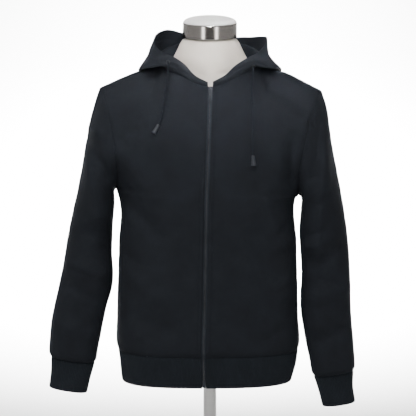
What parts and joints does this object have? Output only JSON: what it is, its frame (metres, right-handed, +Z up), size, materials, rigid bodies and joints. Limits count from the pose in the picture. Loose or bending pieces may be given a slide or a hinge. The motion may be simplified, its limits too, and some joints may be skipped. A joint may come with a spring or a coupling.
{
  "type": "zip up hoodie on a dress form",
  "caption": "Long-sleeved hooded jacket of knitted fleece with a full-length front zip, ribbed cuffs and hem, worn by a limbless dress form on a round-based stand.",
  "frame": {"origin": "centre of the underside of the stand's round base, on the surface it stands on", "axes": "+X to the right as seen from the front, the front of the garment faces -Y, +Z up"},
  "size_m": [0.661, 0.3066, 0.9963],
  "materials": {
    "fleece": "matt knitted cotton fleece, near black",
    "rib": "ribbed knit, near black",
    "zip_tape": "woven tape, near black",
    "zip_coil": "moulded coil teeth, black",
    "zip_metal": "dark satin enamel on die-cast zinc",
    "eyelet_metal": "dark satin enamel on pressed brass",
    "cord_cotton": "braided cord, near black",
    "cord_end_plastic": "moulded, dark grey",
    "form_shell": "off-white moulded shell, satin",
    "ring_steel": "brushed round the neck",
    "cap_shell": "pale moulded cap, satin",
    "stand_steel": "satin"
  },
  "bodies": {
    "hoodie": {"front_left": "fleece", "front_right": "fleece", "back": "fleece", "sleeve_left": "fleece", "sleeve_right": "fleece", "hood_left": "fleece", "hood_right": "fleece", "hem_band": "rib", "cuff_left": "rib", "cuff_right": "rib", "zip_tape_left": "zip_tape", "zip_tape_right": "zip_tape", "zip_chain": "zip_coil", "zip_box": "zip_metal", "zip_slider": "zip_metal", "eyelet_left": "eyelet_metal", "eyelet_right": "eyelet_metal", "drawcord_left": "cord_cotton", "drawcord_right": "cord_cotton", "cord_end_left": "cord_end_plastic", "cord_end_right": "cord_end_plastic", "form_torso": "form_shell", "form_ring": "ring_steel", "form_cap": "cap_shell", "stand_pole": "stand_steel", "stand_base": "stand_steel"},
    "pull": {"zip_pull": "zip_metal"}
  },
  "joints": [
    {"name": "pull_swing", "type": "hinge", "parent": "hoodie", "child": "pull", "pos_m": [0.00091, -0.10779, 0.85227], "axis": [-1, 0, 0], "range_deg": [0, 150]}
  ]
}
